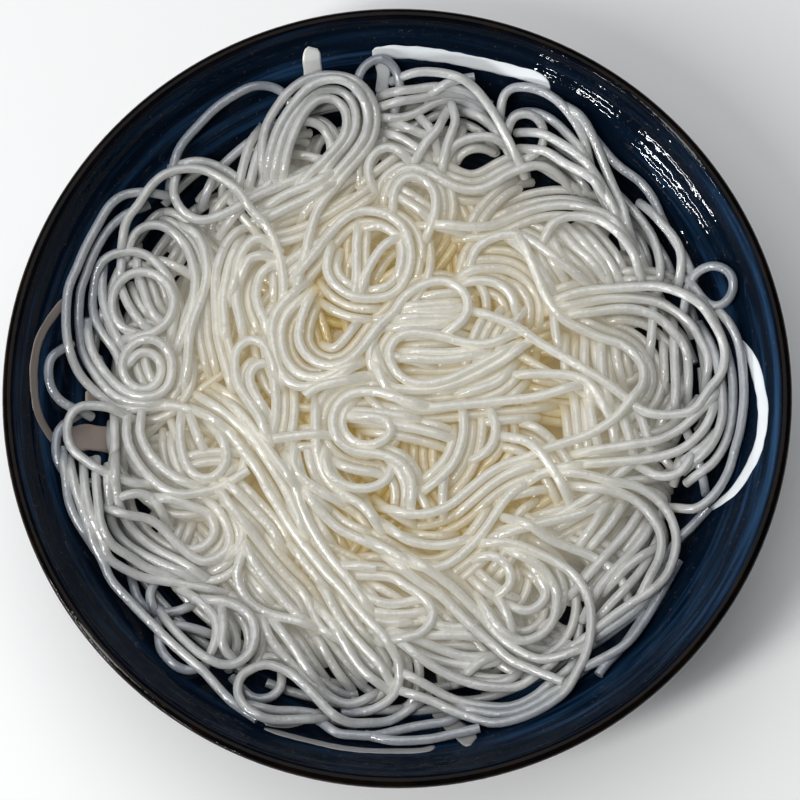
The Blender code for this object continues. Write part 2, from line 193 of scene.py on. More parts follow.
# Noodles, by the centre lines that the photograph shows, in its pixels, in the order in which they lie.
# The word cut stands at an end that shows. Every other end goes on under its neighbours.
routes = {
    "alone": [
        ("170,178 173,166 178,151 186,140 197,129 206,120 220,108 238,97 252,90 266,88 279,91 287,98 "
         "292,108 298,119"),
        "61,352 53,359 50,371 51,385 57,398 67,406 78,410",
        "68,422 60,430 57,440 57,454 61,467 71,479 83,483 97,481 106,477",
        "133,586 136,596 144,606 160,611 176,610 191,603", "153,583 149,591 150,601 156,612",
        "159,633 161,649 169,660 180,669 194,671 206,664", "171,624 190,627 210,633",
        ("686,302 688,288 693,277 702,270 713,268 724,273 731,284 730,297 722,307 713,309 704,303 "
         "697,294 691,284"),
        "356,90 359,76 367,66 379,61 391,65 398,76 400,90 396,104",
        "cut 597,677 605,665 615,655 628,640 640,622",
        "674,570 660,595 645,620 625,645 600,660 575,672",
        "664,574 652,594 636,612 616,628 596,642 578,654", "655,580 646,598 630,614 610,628 592,640",
        "262,128 248,138 234,150 222,162 212,176 205,190", "701,516 691,527 680,537 670,552",
        "690,436 694,449 700,466 704,480",
    ],
    "low": [
        ("154,193 144,193 136,194 124,197 111,208 100,226 91,242 84,256 78,271 71,286 68,301 67,331 "
         "69,346 73,361 80,375 90,386 100,395 110,403 121,406 136,406 151,404 171,403 186,406 200,411"),
        ("136,208 124,215 109,229 99,245 91,261 86,275 81,288 79,304 78,318 79,332 81,349 89,365 "
         "99,379 110,391 123,398 137,401 160,400"),
        "64,460 65,470 67,479 68,493 71,507 79,524 90,541",
        ("72,470 76,487 81,504 89,526 94,544 103,561 111,580 123,594 137,609 154,626 171,643 190,660 "
         "206,674 220,690 235,705 247,713"),
        "84,472 86,490 90,509 96,526 103,539 109,559 121,567 143,577 164,580 186,583 220,590",
        "96,470 97,487 99,504 101,521 107,537 114,547 129,556 150,569 179,574",
        ("720,316 731,331 737,345 741,366 743,395 742,411 739,433 734,451 729,470 720,487 709,500 "
         "694,509 683,507"),
        "722,370 724,390 726,404 723,423 713,436 702,448 690,456",
        "574,116 586,128 598,142 618,164 640,180 654,198 664,222 678,246 689,268",
        "698,300 708,314 718,332 726,352 732,375 733,400 731,424 724,446 712,464 698,474",
        "706,330 714,348 719,368 722,392 722,416 716,436 706,452 694,462",
        "186,592 196,598 206,607 214,617 217,630 215,644 210,656",
        "218,606 228,618 234,632 236,646 232,656", "228,604 240,616 247,630 248,644 242,656",
        "222,612 224,628 222,642 226,652 234,660", "122,246 120,262 119,278", "136,252 136,266 138,278",
        "376,113 392,115 404,114 419,108 433,100 447,96 461,96 476,103 490,117",
        "384,104 400,101 420,97 440,92 462,92 484,100 500,112", "392,92 412,90 436,86 458,88 480,96",
        "384,126 400,132 416,142 428,152", "402,122 416,128 428,132 436,128", "424,118 432,128 436,140",
        "470,108 486,116 498,128 506,140", "252,706 274,711 295,711 316,714 331,719 345,722",
        "324,724 338,734 352,735 374,736 395,731 411,727 433,723 450,720 462,712",
        "378,738 390,741 411,741 433,739 454,734 481,728 cut",
        "181,164 193,161 204,161 223,167 238,177 252,187", "256,130 249,142 245,156 241,172 238,188",
        "268,126 261,140 256,154 252,170 248,186", "282,128 274,140 269,154 265,170 260,186",
        "281,170 262,186 242,204 226,222", "102,268 101,286 103,304 109,321 116,335 124,346",
        "120,285 127,302 140,320 152,330", "140,280 152,312 166,322", "113,419 114,447 110,470",
        "436,90 450,83 462,80 476,78 cut",
    ],
    "middle": [
        ("118,372 117,356 110,342 101,331 94,318 91,303 93,286 97,268 109,255 121,251 136,250 149,255 "
         "160,265 169,278 173,292 174,309 171,324 169,338"),
        ("142,332 125,328 113,315 111,301 115,286 128,273 142,270 157,274 169,286 173,301 169,316 "
         "158,328 144,334 128,336"),
        ("87,328 89,342 94,355 103,369 114,382 129,392 143,396 156,394 167,385 171,371 170,355 "
         "163,344 151,338 141,339 130,345 123,355 121,366 126,379 140,388 153,384 160,372 159,359 "
         "149,350 138,351 131,358"),
        ("129,244 133,234 143,225 154,222 166,225 177,234 186,245 191,259 194,275 193,292 190,309 "
         "184,324 179,338"),
        ("181,222 193,228 200,238 204,252 206,266 204,284 200,298 194,314 189,332 187,352 186,366 "
         "184,379"),
        ("177,172 173,190 177,203 186,213 200,219 215,216 238,206 259,193 275,186 292,177 309,169 "
         "324,160 331,149 329,136 321,124 308,120 295,124 284,137 281,151 281,168"),
        ("262,164 262,145 266,126 278,107 292,91 309,80 331,77 352,81 366,91 375,106 376,123 371,139 "
         "359,154 345,170 332,186 321,200 314,214 305,250 295,290"),
        ("275,169 279,150 286,129 298,111 312,94 326,89 341,90 352,100 356,114 354,129 345,143 "
         "335,154 320,175 312,190"),
        ("268,166 272,146 280,126 292,108 306,92 320,84 338,82 353,88 364,101 368,118 365,134 354,150 "
         "340,166 322,186 306,206"),
        ("284,170 288,150 295,132 306,112 318,100 332,98 343,106 347,120 344,134 334,148 318,164 "
         "300,180"),
        "266,203 288,191 309,183 330,172", "262,218 281,208 309,195 330,182",
        ("119,411 109,407 97,406 84,406 76,410 70,419 68,430 69,443 76,454 86,461 97,469 109,474 "
         "121,479 136,483 146,483"),
        "108,478 109,496 109,511 114,529 126,543 143,554 164,564 193,577",
        "115,464 116,481 117,497 121,511 131,527 143,539 157,549 179,560 200,573",
        "123,496 136,493 150,496 158,505 162,514",
        "161,497 179,500 193,506 207,511 214,526 210,538 200,546 188,548 178,545",
        ("116,512 129,516 143,517 157,523 171,537 186,551 200,560 209,559 224,551 229,539 224,519 "
         "216,507 206,498"),
        "224,499 234,511 241,526 241,541 229,553",
        "126,419 126,436 131,451 141,467 154,481 169,491 183,494 200,491 216,487 231,479 249,467 cut",
        "140,416 139,431 144,444 154,459 166,470 179,479 191,483",
        "180,416 179,433 181,450 187,466 197,476 211,477 224,464 225,447 218,432",
        "191,419 196,433 203,447",
        ("164,617 174,630 190,646 204,657 226,666 242,661 252,649 255,633 251,617 239,607 224,601 "
         "206,599"),
        "228,483 242,496 256,511 271,527 281,544",
        "219,490 232,507 245,523 258,540 271,557 286,574 304,593 321,627 338,637",
        "245,544 252,559 264,576 278,593 295,611 309,623",
        "241,552 236,574 241,590 252,604 273,614 295,619 312,625",
        "262,620 269,636 279,650 289,661 301,673 316,686 331,697 345,703 359,701 374,693",
        "275,623 284,634 295,649 304,664 316,680", "281,677 281,686 272,696 259,699 249,696 240,686",
        ("318,719 300,720 282,721 267,720 254,714 244,706 238,693 241,677 252,669 264,664 278,667 "
         "292,674 306,687 321,703 334,716 349,723 366,723 388,721 402,714 418,702"),
        ("501,109 503,97 511,89 526,89 540,93 554,101 567,114 579,129 586,143 590,160 594,174 601,190 "
         "610,206 623,224"),
        ("509,124 513,113 526,109 540,111 554,119 566,131 576,143 586,158 594,176 604,194 614,212 "
         "622,230"),
        "508,128 512,117 524,112 537,116 544,127 544,140 537,150 526,154",
        "572,225 590,245 603,262 612,282", "560,225 574,242 590,256 604,272", "552,232 560,250 572,262",
        "586,228 600,244 612,260 622,278", "548,240 552,256 562,270",
        "530,130 544,133 561,143 579,156 592,170 602,186 612,204 620,222",
        "532,146 547,150 561,160 576,169 590,178 602,192",
        "570,112 580,119 589,131 597,147 604,164 616,190 623,204 627,221 633,238",
        "649,209 660,222 671,235 679,249 681,264 680,275",
        "cut 631,202 643,216 653,231 659,248 662,264 661,277",
        "447,154 450,146 461,137 476,133 490,133 501,137", "453,106 456,119 451,131 446,146 443,161",
        "444,114 437,129 426,140 419,151", "374,184 368,171 369,157 378,146 391,143 402,149 409,156",
        "643,466 654,474 671,476 684,469 691,457",
        "507,527 533,523 554,516 576,504 590,496 604,486 625,468 642,456 658,448",
        "501,533 547,521 576,514 597,506",
        "516,520 533,527 547,537 569,546 590,554 601,560 615,570 623,581 627,593",
        "470,264 473,252 481,241 496,234 511,231 526,235 540,244 554,255 569,266 583,276",
        "518,242 533,256 544,272 554,288", "640,512 628,530 612,548 596,566 580,584",
        "652,524 642,540 628,556 612,572 598,590 590,606", "622,506 610,524 596,540",
        "604,508 594,524 584,538", "658,540 650,556 640,572 626,588 612,602 600,616",
        "586,338 585,360 588,382 592,398", "602,344 602,364 606,386 612,402", "616,338 618,356 624,376",
        "575,396 577,414 579,436 580,452", "590,404 594,424 600,446", "606,400 612,420 617,444",
        "622,410 628,430 634,450", "640,410 646,428 652,446", "655,300 654,322 652,345",
        "358,590 372,598 390,603 410,600 430,595", "352,600 372,610 392,613 412,612 430,608",
        "366,617 390,622 410,620", "384,632 410,634 436,634 462,634 480,636",
        "380,640 408,646 430,656 452,662 476,664 500,660", "398,632 420,640 446,650 470,656 490,654",
        "430,620 446,626 462,626 476,622", "465,674 472,668 482,660 494,656",
        "468,680 490,682 508,680 520,672",
        "222,248 216,266 214,288 215,309 216,331 221,352 225,366 231,385",
        "236,242 229,259 224,281 222,302 225,331", "240,262 236,281 235,298 239,316 242,331",
        "315,401 315,437 318,457 324,473 332,484 346,494 361,503 371,514 379,527",
        "294,447 292,461 298,473 309,483 324,493 338,499",
        "304,490 314,503 324,514 338,527 352,534 374,544 395,554 415,561",
        "288,464 301,504 309,523 319,540 332,559 345,574 359,593 371,609",
        "272,372 275,392 275,415 270,438", "cut 271,439 288,436 309,434 328,434",
        "463,410 464,427 461,444 454,461 441,476 430,484", "491,410 496,424 494,439 487,450 474,457",
        "352,409 380,412 415,417", "352,416 380,421 415,427 445,435", "404,304 432,301 461,298",
        "407,309 436,307 464,304", "399,316 430,315 461,314", "393,325 420,324 447,322",
        "364,224 378,222 392,228 401,239 402,255 398,273", "358,224 356,242 356,259 356,275 355,289",
        "398,235 385,242 375,255 366,271 362,284",
        "516,372 533,372 554,372 576,375 593,385 601,399 610,415", "676,324 676,352 677,381 676,406",
        "388,456 401,473 406,487 405,501", "324,454 326,470 338,481 355,487 374,486 388,477 391,468",
        "613,582 621,573 634,561 653,549",
        "cut 354,574 374,574 395,577 404,584 419,593 429,603 433,609 431,621 421,633 407,637 394,639",
        "270,362 258,362 250,370 250,384 258,398 266,410",
    ],
    "high": [
        ("209,416 224,426 235,439 246,454 258,470 266,487 275,501 284,516 294,531 306,547 319,563 "
         "329,576 338,584 352,601 366,617 381,633 392,649 399,663 399,680 394,694 382,704 366,711 "
         "354,711"),
        "200,411 209,416 224,426",
        "202,396 221,409 238,423 252,437 264,454 275,471 286,490 295,511 304,530",
        "226,399 242,414 255,431 269,450 281,467 292,481",
        "324,589 335,609 349,630 364,647 379,663 388,677",
        "318,606 331,621 345,644 355,660 366,673 381,684",
        ("122,243 126,224 131,215 137,209 144,199 153,186 164,176 176,171 189,169 203,170 217,176 "
         "238,191 252,211 261,219 268,228 275,242 279,256 282,272 283,288 282,304"),
        "404,77 419,74 440,75 459,80 474,89 487,103 497,117 506,133 513,146 520,159",
        ("393,171 401,166 414,164 429,169 443,177 459,184 476,186 493,180 509,170 526,164 540,161 "
         "554,166 566,176"),
        "393,203 394,189 401,177 413,173 424,177 433,186 436,200 434,214 428,230",
        "440,222 461,224 479,224 497,221 516,212 533,205 554,201 576,202 597,209 610,216 630,240",
        "546,234 551,224 564,216 580,215 597,218 615,230 632,250 640,270",
        "457,276 470,268 487,265 504,265 519,271 530,281 539,295 541,309 540,321",
        "461,281 479,278 497,281 511,292 516,306",
        "559,305 580,301 609,295 637,295 659,299 677,309 692,322 701,338 709,358 708,374",
        "570,312 601,308 623,305 644,308 661,316 677,332 687,345 690,366 690,388",
        "580,451 609,447 637,443 660,439 680,429 694,417 706,404 717,393",
        "540,461 511,471 490,484 476,496 459,510",
        "580,463 609,461 637,459 660,456 680,450 694,440 706,426 714,407", "580,463 547,470 526,481",
        ("476,309 497,316 519,326 533,336 547,345 569,358 590,371 610,384 630,400 643,410 659,414 "
         "677,414 694,410 709,389 720,376 724,359 721,342 711,324 697,306 680,294 660,286 637,285 "
         "609,286 580,289 554,298"),
        ("561,471 583,473 614,481 634,484 651,493 666,507 674,523 677,540 674,557 666,576 651,591 "
         "630,604 605,622 585,638 566,650"),
        "574,484 594,487 616,490 637,500 651,514 660,530 662,544 659,559 651,574 643,590",
        "232,288 236,272 238,259 249,242 259,236 269,242", "242,272 249,258 261,255 272,256",
        "268,332 265,321 258,306 255,292 256,288 258,278 264,268 272,264",
        ("298,271 309,259 321,242 332,228 345,215 359,208 374,208 388,212 401,222 408,236 411,252 "
         "409,266 402,282 391,292 374,296 355,295 341,288 329,276 326,264 329,249"),
        "306,292 294,302 284,315 280,328 281,344 288,362 302,374 321,376 338,371 352,362",
        "298,286 284,300 274,314 271,330 274,349 281,374 295,385 309,386 331,379 352,366",
        "408,349 440,351 476,349", "404,356 447,358 483,352",
        "376,352 378,372 390,385 409,388 426,388 447,384 469,376 490,366 509,355 523,344",
        "461,391 483,386 501,378 511,366",
        "376,365 390,392 419,406 447,405 476,402 504,399 533,396 554,391 573,385",
        ("514,332 490,342 469,342 447,336 426,332 404,332 394,339 388,352 393,366 401,376 416,382 "
         "433,382 454,376 476,365 497,354 511,345"),
        "352,400 343,412 342,426 350,438 364,444 380,441 391,432 388,421 372,416 356,415",
        ("425,405 415,404 395,397 374,391 352,393 338,403 332,419 334,433 342,444 359,451 378,453 "
         "395,459 408,470 412,487 411,505"),
        "476,557 490,554 504,560 511,573 509,586 499,593",
        "511,604 526,610 540,604 547,591 540,576 527,556", "499,599 509,616 513,630",
        "390,526 404,537 426,543 447,543 469,536",
        "524,483 510,493 499,507 490,521 479,536 466,549 451,561 433,567 411,563 390,551 370,540",
        "562,652 548,667 533,677 519,686 497,687 476,684 454,677 433,666 416,654 406,646",
        "574,664 562,675 549,684 533,697 511,706 490,706 469,703 447,696 426,684 407,674",
        "576,676 562,687 548,695 540,701 519,711 497,714 476,711 459,707",
        ("489,541 504,541 519,544 536,551 554,560 571,571 583,586 590,604 591,626 589,643 583,660 "
         "574,677 566,691 551,703 533,713 511,721 490,723 470,717 451,710 433,701 404,691"),
        "415,561 450,584 470,603 487,621 501,637 519,650 540,659 561,656 580,649",
        "479,597 490,614 499,627 511,637 526,640 541,634 553,621 557,604 556,587 540,565 514,551",
        "395,562 419,581 440,594 459,613 476,629 493,644 511,660 533,670 564,683 cut",
        "346,564 360,565 378,567 cut",
        ("520,236 528,252 536,270 544,290 555,308 568,320 588,329 601,335 623,342 637,354 644,368 "
         "643,384 634,395 616,417 597,429 580,437 569,440 547,447 526,456 504,463 487,473 470,487 "
         "451,503 433,511 411,513 390,507"),
        "511,436 526,440 540,451 551,466 560,480 567,494",
        ("276,374 272,364 266,348 258,339 246,339 236,349 234,366 236,381 244,395 252,406 259,417 "
         "265,431"),
        ("309,295 302,312 299,324 298,338 304,351 316,361 331,365 345,362 358,351 371,334 381,321 "
         "395,309 401,298 416,286 433,279 447,279 459,285 467,295 468,308 461,321 450,328"),
        "356,378 338,382 321,386 309,392 304,398 cut",
    ],
}

heap = {
    "noodle": 2.6,            # mm across
    "sides": 12,
    "lowSides": 8,
    "step": 0.8,              # mm between rings
    "lowStep": 1.3,
    "coreRadius": 69.0,
    "coreTop": 26.5,
    "coreDome": 2.6,          # how square the core's dome is
    "topGuess": 39.0,         # height of the heap's top, where the centre lines are read off
    "edgeGuess": 35.5,        # and at the radius of guessReach
    "guessReach": 90.0,
    "packed": 0.70,           # share of a diameter that crossing noodles keep between their middles
    "deepRuns": 75,           # runs of noodles side by side that cover the core
    "fillRuns": 60,           # and that fill what the noodles beside the traced ones leave open
    "fillerReach": 78.0,
    "runLength": (45, 110),   # least and most, as in the next three
    "runBend": (15, 40),      # radius of the run's bend
    "runWave": (14, 30),      # how soon the bend changes
    "runNoodles": (3, 7),     # side by side, the second number not reached
    "underTop": 35.0,         # height that the lower noodles fill the heap to, in its middle
    "underEdge": 29.5,        # and at the radius of fillerReach
    "underWall": 2.2,         # and on the plate's wall, above a noodle that lies there
    "deepBelow": 3.2,         # how far the deep runs stay below that
    "fillBelow": 0.8,
    "shortest": 11.0,         # shortest piece of a lower noodle
    "beside": 2.55,           # mm between a noodle and the one that lies along it
    "besideRadius": 7.0,      # tightest bend that a noodle is laid along on its inner side
    "besideReach": 84.0,
    "outerReach": 74.0,       # past it nothing is laid along a noodle on the side of the rim
    "seed": 11,
    "mapCell": 0.5,
    "dive": (4.5, 7.5),       # how far a noodle's hidden end sinks, and over what length
    "lowDive": (3.0, 6.0),
    "tuck": 3,                # steps that a lower noodle runs on into the one beside it
    "runOn": 4.0,             # how far a noodle runs on under the next where it goes out of sight
    "passes": 90,             # of settling, for each noodle
    "bridge": 5,              # steps that a noodle is stiff over
    "sag": 0.01,              # how far it sinks at each pass where nothing holds it
    "gap": 0.25,              # between the plate and what lies on it
}


def coreHeight(x, y):
    radius = np.hypot(x, y)
    share = np.clip(radius / heap["coreRadius"], 0, 1)
    edge = float(insideHeight(heap["coreRadius"])) + heap["gap"]
    lumps = 1.2 * np.sin(x / 9) * np.sin(y / 8 + 1) * (1 - share)
    return edge + (heap["coreTop"] - edge) * (1 - share ** heap["coreDome"]) + lumps


# Moving average along a line, whose ends stay where they are
def smoothed(values, width):
    padded = np.concatenate([np.repeat(values[:1], width, 0), values, np.repeat(values[-1:], width, 0)])
    kernel = np.hanning(2 * width + 3)[1:-1]
    kernel /= kernel.sum()
    if padded.ndim == 1:
        return np.convolve(padded, kernel, "same")[width:-width]
    return np.stack([np.convolve(column, kernel, "same")[width:-width] for column in padded.T], 1)


# The same line with its points at even steps
def evenly(points, step):
    along = np.concatenate([[0], np.cumsum(np.linalg.norm(np.diff(points, axis=0), axis=1))])
    marks = np.linspace(0, along[-1], max(4, int(along[-1] / step) + 1))
    return np.stack([np.interp(marks, along, points[:, axis]) for axis in range(points.shape[1])], 1)


# A smooth curve through points, centripetal so that it doesn't overshoot
def throughPoints(points, perStretch=12):
    ends = np.concatenate([[2 * points[0] - points[1]], points, [2 * points[-1] - points[-2]]])
    gaps = np.sqrt(np.linalg.norm(np.diff(ends, axis=0), axis=1)) + 1e-6
    knots = np.concatenate([[0], np.cumsum(gaps)])
    pieces = []
    for i in range(1, len(ends) - 2):
        t = np.linspace(knots[i], knots[i + 1], perStretch, endpoint=False)[:, None]

        def between(a, b, first, second):
            return ((knots[second] - t) * a + (t - knots[first]) * b) / (knots[second] - knots[first])

        a1 = between(ends[i - 1], ends[i], i - 1, i)
        a2 = between(ends[i], ends[i + 1], i, i + 1)
        a3 = between(ends[i + 1], ends[i + 2], i + 1, i + 2)
        b1 = between(a1, a2, i - 1, i + 1)
        b2 = between(a2, a3, i, i + 2)
        pieces.append(between(b1, b2, i, i + 1))
    return np.concatenate(pieces + [points[-1:]])


# The same line, carried on a little past its last point, to where it is under others
def carriedOn(places):
    lead = places[-1] - places[-2]
    return np.concatenate([places, [places[-1] + lead / np.linalg.norm(lead) * heap["runOn"]]])


# Plan in mm of a noodle read off the photograph, and whether its two ends are cut ends that show
def tracedRoute(text):
    words = text.split()
    cutStart, cutEnd = words[0] == "cut", words[-1] == "cut"
    pixels = [tuple(float(n) for n in word.split(",")) for word in words if word != "cut"]
    middleX, middleY = camera["rimCentre"]
    places = []
    for px, py in pixels:
        radius = math.hypot(px - middleX, py - middleY) / camera["pixelsPerMm"]
        share = (radius / heap["guessReach"]) ** 2
        places.append(seenAt(px, py, heap["topGuess"] + (heap["edgeGuess"] - heap["topGuess"]) * share))
    places = np.array(places)
    if not cutStart:
        places = carriedOn(places[::-1])[::-1]
    if not cutEnd:
        places = carriedOn(places)
    line = evenly(throughPoints(places), heap["step"])
    return evenly(smoothed(line, 3), heap["step"]), cutStart, cutEnd


# The same plan, bent in softly where it would leave the reach
def insideReach(line, reach, soft):
    radius = np.hypot(line[:, 0], line[:, 1])
    bent = np.minimum(radius, reach - soft) + soft * np.tanh(np.maximum(radius - reach + soft, 0) / soft)
    return evenly(line * (bent / np.maximum(radius, 1))[:, None], heap["step"])


def sideways(line):
    ahead = np.gradient(line, axis=0)
    ahead /= np.linalg.norm(ahead, axis=1)[:, None]
    return np.stack([-ahead[:, 1], ahead[:, 0]], 1)


# Plans in mm of noodles lower in the heap that lie side by side in a bend that opens out
def randomRun(draw):
    angle = draw.uniform(0, 2 * math.pi)
    start = heap["fillerReach"] * math.sqrt(draw.uniform(0, 1))
    heading = draw.uniform(0, 2 * math.pi)
    steps = int(draw.uniform(*heap["runLength"]) / heap["step"])
    tight = 1 / draw.uniform(*heap["runBend"]) * draw.choice([-1, 1])
    wave = draw.uniform(0, 2 * math.pi)
    along = np.arange(steps) * heap["step"]
    curl = tight * (0.6 + 0.5 * np.sin(along / draw.uniform(*heap["runWave"]) + wave))
    headings = heading + np.cumsum(curl) * heap["step"]
    line = np.cumsum(np.stack([np.cos(headings), np.sin(headings)], 1), 0) * heap["step"]
    line += start * np.array([math.cos(angle), math.sin(angle)])
    count = draw.integers(*heap["runNoodles"])
    offsets = (np.arange(count) - count / 2) * heap["beside"]
    side = sideways(line)
    return [insideReach(line + side * offset, heap["fillerReach"], 8) for offset in offsets]


# Plans of noodles that lie along a noodle and show between those above
def routesBeside(line, draw):
    ahead = np.gradient(line, axis=0)
    heading = np.unwrap(np.arctan2(ahead[:, 1], ahead[:, 0]))
    curl = smoothed(np.gradient(heading), 4) / heap["step"]
    outer = -math.copysign(1, curl.sum())
    side = sideways(line)
    ways = [outer, 2 * outer]
    if np.abs(curl).max() < 1 / heap["besideRadius"]:
        ways.append(-outer)
    found = []
    for way in ways:
        start = int(draw.uniform(0, 0.25) * len(line))
        stop = len(line) - int(draw.uniform(0, 0.25) * len(line))
        beside = (line + side * way * heap["beside"] * draw.uniform(0.95, 1.1))[start:stop]
        radius = np.hypot(*beside.T).mean()
        outside = radius > heap["outerReach"] and radius > np.hypot(*line[start:stop].T).mean()
        if len(beside) > 12 and not outside:
            found.append(insideReach(smoothed(beside, 3), heap["besideReach"], 5))
    return found


# How high the middle of a noodle has to be, cell by cell. Each noodle that is laid raises it
class HeapMap:
    def __init__(self):
        self.half = plate["rim"]
        self.count = int(2 * self.half / heap["mapCell"]) + 1
        axis = np.arange(self.count) * heap["mapCell"] - self.half
        x, y = np.meshgrid(axis, axis, indexing="ij")
        radius = np.hypot(x, y)
        self.height = self.onPlate(radius)
        inside = radius < heap["coreRadius"]
        onCore = coreHeight(x, y) + heap["noodle"] * 0.3
        self.height[inside] = np.maximum(self.height, onCore)[inside]

    def onPlate(self, radius):
        half = heap["noodle"] / 2
        return insideHeight(radius) + heap["gap"] + half * np.sqrt(1 + insideSlope(radius) ** 2)

    def cells(self, line):
        return np.clip(np.round((line + self.half) / heap["mapCell"]).astype(int), 0, self.count - 1)

    # Heights of a noodle that rests on what is under it and is stiff enough to bridge small gaps
    def lay(self, line, cutStart=False, cutEnd=False, dive=heap["dive"]):
        index = self.cells(line)
        needed = self.height[index[:, 0], index[:, 1]]
        clear = heap["noodle"] * heap["packed"]
        apart = np.linalg.norm(line[:, None] - line[None], axis=2)
        order = np.arange(len(line))
        crossing = (apart < clear) & (order[:, None] - order[None] > 2 * clear / heap["step"])
        lift = np.sqrt(np.maximum(clear ** 2 - apart ** 2, 0))
        heights = needed.copy()
        for _ in range(heap["passes"]):
            if crossing.any():
                needed = np.maximum(needed, np.where(crossing, heights[None] + lift, 0).max(axis=1))
            heights = np.maximum(needed, smoothed(heights, heap["bridge"]) - heap["sag"])
        heights = smoothed(heights, 2)
        # A hidden end sinks in, a cut one stays up.
        depth, over = dive
        fromStart = order * heap["step"] + (over if cutStart else 0)
        fromEnd = order[::-1] * heap["step"] + (over if cutEnd else 0)
        near = np.minimum(fromStart, fromEnd)
        heights -= depth * np.clip(1 - near / over, 0, 1) ** 2
        heights = np.maximum(heights, self.onPlate(np.hypot(line[:, 0], line[:, 1])))
        self.raiseUnder(index, heights, clear)
        return np.column_stack([line, heights])

    def raiseUnder(self, index, heights, clear):
        reach = int(clear / heap["mapCell"])
        for i in range(-reach, reach + 1):
            for j in range(-reach, reach + 1):
                away = math.hypot(i, j) * heap["mapCell"]
                if away < clear:
                    cell = np.clip(index + (i, j), 0, self.count - 1)
                    raised = heights + math.sqrt(clear ** 2 - away ** 2)
                    np.maximum.at(self.height, (cell[:, 0], cell[:, 1]), raised)


# The stretches of a lower noodle that lie where the heap isn't full yet
def layLower(plan, heapMap, below=0.0):
    radius = np.hypot(plan[:, 0], plan[:, 1])
    share = (radius / heap["fillerReach"]) ** 2
    full = heap["underTop"] + (heap["underEdge"] - heap["underTop"]) * share - below
    full = np.maximum(full, heapMap.onPlate(radius) + heap["underWall"])
    index = heapMap.cells(plan)
    free = heapMap.height[index[:, 0], index[:, 1]] < full
    edges = np.flatnonzero(np.diff(np.concatenate([[0], free, [0]])))
    shortest = heap["shortest"] / heap["step"]
    tuck = heap["tuck"]
    stretches = [plan[max(0, a - tuck):b + tuck] for a, b in edges.reshape(-1, 2) if b - a > shortest]
    return [heapMap.lay(stretch, dive=heap["lowDive"]) for stretch in stretches]


# One mesh of round noodles along the lines
def makeNoodles(name, lines, sides="sides", step="step"):
    curve = bpy.data.curves.new(name, "CURVE")
    curve.dimensions = "3D"
    curve.bevel_depth = heap["noodle"] / 2 * mm
    curve.bevel_resolution = heap[sides] // 2 - 2
    curve.use_fill_caps = True
    for line in lines:
        middles = evenly(line, heap[step])
        spline = curve.splines.new("POLY")
        spline.points.add(len(middles) - 1)
        spline.points.foreach_set("co", np.column_stack([middles * mm, np.ones(len(middles))]).ravel())
        spline.use_smooth = True
    obj = bpy.data.objects.new(name, curve)
    bpy.context.collection.objects.link(obj)
    selectOnly(obj)
    bpy.ops.object.convert(target="MESH")
    obj = bpy.context.object
    bpy.ops.object.mode_set(mode="EDIT")
    bpy.ops.mesh.select_all(action="SELECT")
    bpy.ops.mesh.remove_doubles(threshold=0.000005)
    bpy.ops.mesh.normals_make_consistent(inside=False)
    bpy.ops.object.mode_set(mode="OBJECT")
    bpy.ops.object.shade_smooth_by_angle(angle=math.radians(50))
    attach(obj, "root")
    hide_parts("vermicelli")
    return obj


# The lower noodles that don't show, as one body
def makeCore():
    bpy.ops.mesh.primitive_uv_sphere_add(segments=96, ring_count=48, radius=1)
    obj = bpy.context.object
    obj.name = "heapCore"
    coords = np.empty(len(obj.data.vertices) * 3)
    obj.data.vertices.foreach_get("co", coords)
    ball = coords.reshape(-1, 3)
    share = np.minimum(1, np.hypot(ball[:, 0], ball[:, 1]))
    angle = np.arctan2(ball[:, 1], ball[:, 0])
    radius = share * heap["coreRadius"]
    x, y = radius * np.cos(angle), radius * np.sin(angle)
    top = coreHeight(x, y)
    bottom = insideHeight(radius) + heap["gap"]
    z = np.where(ball[:, 2] > 1e-4, np.maximum(top, bottom), bottom)
    obj.data.vertices.foreach_set("co", (np.stack([x, y, z], 1) * mm).ravel())
    selectOnly(obj)
    bpy.ops.object.shade_smooth()
    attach(obj, "root")
    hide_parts("vermicelli")
    return obj


heapCore = makeCore()
heapMap = HeapMap()
draw = np.random.default_rng(heap["seed"])
traced = {level: [tracedRoute(text) for text in texts] for level, texts in routes.items()}
crowded = [line for level in ("low", "middle", "high") for line, *_ in traced[level]]
beside = [plan for line in crowded for plan in routesBeside(line, draw)]
deepRuns = [plan for _ in range(heap["deepRuns"]) for plan in randomRun(draw)]
deepLines = [line for plan in deepRuns for line in layLower(plan, heapMap, heap["deepBelow"])]
besideLines = [line for i in draw.permutation(len(beside)) for line in layLower(beside[i], heapMap)]
fillRuns = [plan for _ in range(heap["fillRuns"]) for plan in randomRun(draw)]
fillLines = [line for plan in fillRuns for line in layLower(plan, heapMap, heap["fillBelow"])]
half = len(besideLines) // 2
noodlePieces = [
    makeNoodles("noodlesDeep", deepLines, "lowSides", "lowStep"),
    makeNoodles("noodlesInside", fillLines, "lowSides", "lowStep"),
    makeNoodles("noodlesUnder", besideLines[:half], "lowSides", "lowStep"),
    makeNoodles("noodlesBetween", besideLines[half:], "lowSides", "lowStep"),
]
levelNames = {
    "alone": "noodlesOnPlate", "low": "noodlesAtEdge", "middle": "noodlesMiddle", "high": "noodlesOnTop",
}
for level, name in levelNames.items():
    lines = [heapMap.lay(*plan) for plan in traced[level]]
    noodlePieces.append(makeNoodles(name, lines))
    print(level, "noodles laid, highest", round(max(line[:, 2].max() for line in lines), 1), "mm")
for piece in noodlePieces:
    print(piece.name, sum(len(p.vertices) - 2 for p in piece.data.polygons), "triangles")


# Materials


def newMaterial(name):
    material = bpy.data.materials.new(name)
    material.use_nodes = True
    return material, material.node_tree, material.node_tree.nodes["Principled BSDF"]


def setMaterial(obj, material):
    obj.data.materials.clear()
    obj.data.materials.append(material)


